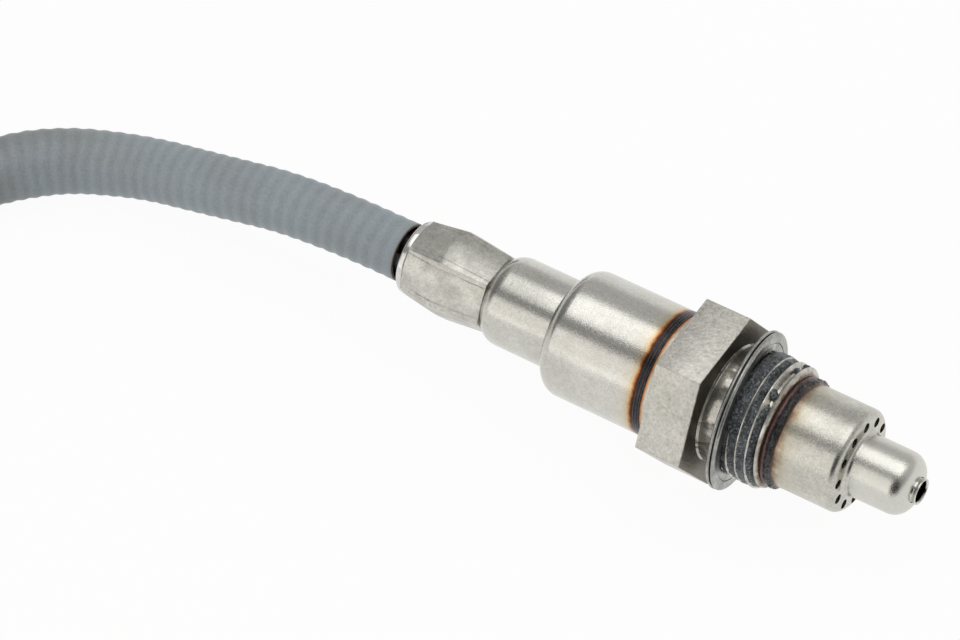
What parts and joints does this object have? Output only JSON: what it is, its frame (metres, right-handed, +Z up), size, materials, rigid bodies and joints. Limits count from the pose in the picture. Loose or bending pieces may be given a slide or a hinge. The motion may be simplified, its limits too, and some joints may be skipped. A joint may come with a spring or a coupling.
{
  "type": "oxygen sensor",
  "caption": "Exhaust oxygen sensor: hexagon body with a threaded nose, gasket, vented protection tube, crimped rear sleeve and a ribbed lead ending in a plug.",
  "frame": {"origin": "on the thread's axis, in the plane of the gasket's front face, where the thread starts", "axes": "+X along the thread towards the sensing tip, +Z up with one hexagon flat facing down, +Y by the right-hand rule"},
  "size_m": [0.251, 0.1097, 0.0228],
  "materials": {
    "housing_steel": "milled stainless steel, satin",
    "gasket_steel": "matte pressed stainless steel",
    "sleeve_steel": "drawn stainless steel, satin, heat tint at the weld",
    "tube_steel": "drawn heat-resistant steel, satin",
    "ceramic": "fired white ceramic",
    "talc": "pressed talc powder",
    "spring_metal": "bare nickel alloy sheet",
    "grommet_rubber": "dark fluoro rubber",
    "wire_black": "smooth insulation",
    "wire_grey": "smooth insulation",
    "wire_white": "smooth insulation",
    "wire_yellow": "smooth insulation",
    "wire_red": "smooth insulation",
    "conduit_grey": "matte ribbed flexible conduit",
    "boot_rubber": "matte rubber",
    "plug_plastic": "moulded glass-filled plastic",
    "lock_plastic": "moulded plastic",
    "seal_rubber": "silicone rubber",
    "pin_metal": "tin-plated copper alloy"
  },
  "bodies": {
    "root": {"hex_housing": "housing_steel", "seal_ring": "gasket_steel", "protective_sleeve": "sleeve_steel", "outer_protection_tube": "tube_steel", "inner_protection_tube": "tube_steel", "sensor_element": "ceramic", "front_ceramic": "ceramic", "talc_packing": "talc", "rear_ceramic": "ceramic", "contact_holder_upper": "ceramic", "contact_holder_lower": "ceramic", "holder_clip": "spring_metal", "contact_springs": "spring_metal", "wire_grommet": "grommet_rubber", "wire_black": "wire_black", "wire_grey": "wire_grey", "wire_white": "wire_white", "wire_yellow": "wire_yellow", "wire_red": "wire_red", "conduit": "conduit_grey", "conduit_boot": "boot_rubber", "rear_cover": "plug_plastic", "connector_housing": "plug_plastic", "connector_pins": "pin_metal", "pin_lock": "lock_plastic", "socket_seal": "seal_rubber", "wire_seals": "seal_rubber", "plug_wires": "wire_black"}
  },
  "joints": []
}
